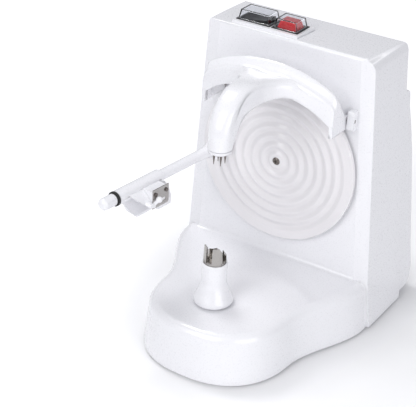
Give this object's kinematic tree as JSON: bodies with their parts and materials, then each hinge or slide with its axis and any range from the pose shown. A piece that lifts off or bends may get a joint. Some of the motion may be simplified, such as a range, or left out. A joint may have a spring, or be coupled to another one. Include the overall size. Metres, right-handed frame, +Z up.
{
  "type": "electric fruit peeler",
  "caption": "Table-top electric fruit peeler: a spindle turns the fruit under a hinged holder arm while a rippled disc sweeps a sprung blade arm round it",
  "frame": {"origin": "on the floor under the middle of the whole machine's bounding box", "axes": "+X the machine's right, -Y its front, +Z up"},
  "size_m": [0.173, 0.2262, 0.229],
  "materials": {
    "white_plastic": "glossy injection-moulded white with a cool tone",
    "disc_plastic": "glossy pearl white with pressed rings",
    "black_rubber": "matt black rubber",
    "black_plastic": "satin black plastic",
    "gear_plastic": "natural acetal",
    "red_plastic": "glossy red plastic",
    "clear_plastic": "clear thin cover",
    "steel": "bright turned steel",
    "dark_steel": "dark plated steel",
    "board": "green circuit board"
  },
  "bodies": {
    "machine": {"housing": "white_plastic", "bottom_cover": "white_plastic", "rear_cover": "white_plastic", "rubber_feet": "black_rubber", "bottom_screws": "steel", "cover_screws": "steel", "switch_bezel": "white_plastic", "power_switch_body": "black_plastic", "power_switch_cover": "clear_plastic", "start_button_body": "black_plastic", "start_button_cover": "clear_plastic", "disc_bush": "black_plastic", "hinge_lug_left": "white_plastic", "hinge_lug_right": "white_plastic", "hinge_pins": "steel", "lug_screws": "steel", "spindle_bush": "black_plastic", "drive_belt": "black_rubber", "drive_bearing": "black_plastic", "gearbox": "black_plastic", "gearbox_screws": "steel", "motor": "steel", "motor_cap": "black_plastic", "control_board": "board", "power_inlet": "black_plastic"},
    "sweep_disc": {"disc": "disc_plastic", "disc_screw": "dark_steel", "disc_shaft": "steel", "blade_bracket": "white_plastic", "blade_hinge_pin": "steel"},
    "blade_carrier": {"blade_arm": "white_plastic", "peel_hood": "white_plastic", "blade": "steel", "blade_screws": "dark_steel", "depth_pin": "white_plastic", "knob_washer": "black_rubber", "arm_knob": "white_plastic"},
    "holder_arm": {"upper_arm": "white_plastic", "tip_bush": "black_plastic"},
    "holder_tip": {"tip_axle": "steel", "tip_collar": "white_plastic", "tip_spikes": "dark_steel"},
    "spindle": {"spindle_foot": "white_plastic", "fruit_cup": "steel", "spindle_shaft": "steel", "spindle_screw": "steel", "spindle_pulley": "gear_plastic"},
    "drive": {"drive_pulley": "gear_plastic", "drive_shaft": "steel"},
    "rocker": {"power_rocker": "black_plastic"},
    "button": {"start_button": "red_plastic"}
  },
  "joints": [
    {"name": "disc_sweep", "type": "hinge", "parent": "machine", "child": "sweep_disc", "pos_m": [0, 0.02487, 0.1235], "axis": [0, 1, 0], "range_deg": [-54, 55]},
    {"name": "blade_swing", "type": "hinge", "parent": "sweep_disc", "child": "blade_carrier", "pos_m": [-0.047, 0.01287, 0.126], "axis": [0, 0, 1], "range_deg": [-5, 14], "stiffness_Nm_per_rad": 0.12},
    {"name": "arm_lift", "type": "hinge", "parent": "machine", "child": "holder_arm", "pos_m": [0, 0.02747, 0.173], "axis": [-1, 0, 0], "range_deg": [0, 28]},
    {"name": "tip_spin", "type": "hinge", "parent": "holder_arm", "child": "holder_tip", "pos_m": [0, -0.05713, 0.1675], "axis": [0, 0, 1], "continuous": true},
    {"name": "spindle_spin", "type": "hinge", "parent": "machine", "child": "spindle", "pos_m": [0, -0.05713, 0.041], "axis": [0, 0, 1], "continuous": true},
    {"name": "drive_spin", "type": "hinge", "parent": "machine", "child": "drive", "pos_m": [0, 0.06087, 0.041], "axis": [0, 0, 1], "continuous": true},
    {"name": "rocker_tilt", "type": "hinge", "parent": "machine", "child": "rocker", "pos_m": [-0.03575, 0.04877, 0.22], "axis": [0, 1, 0], "range_deg": [0, 14]},
    {"name": "button_press", "type": "slide", "parent": "machine", "child": "button", "axis": [0, 0, -1], "range_m": [0, 0.002], "stiffness_N_per_m": 500, "springref_m": -0.0005}
  ],
  "couplings": [
    {"joint": "spindle_spin", "follows": "disc_sweep", "ratio": 28},
    {"joint": "drive_spin", "follows": "disc_sweep", "ratio": 28}
  ]
}
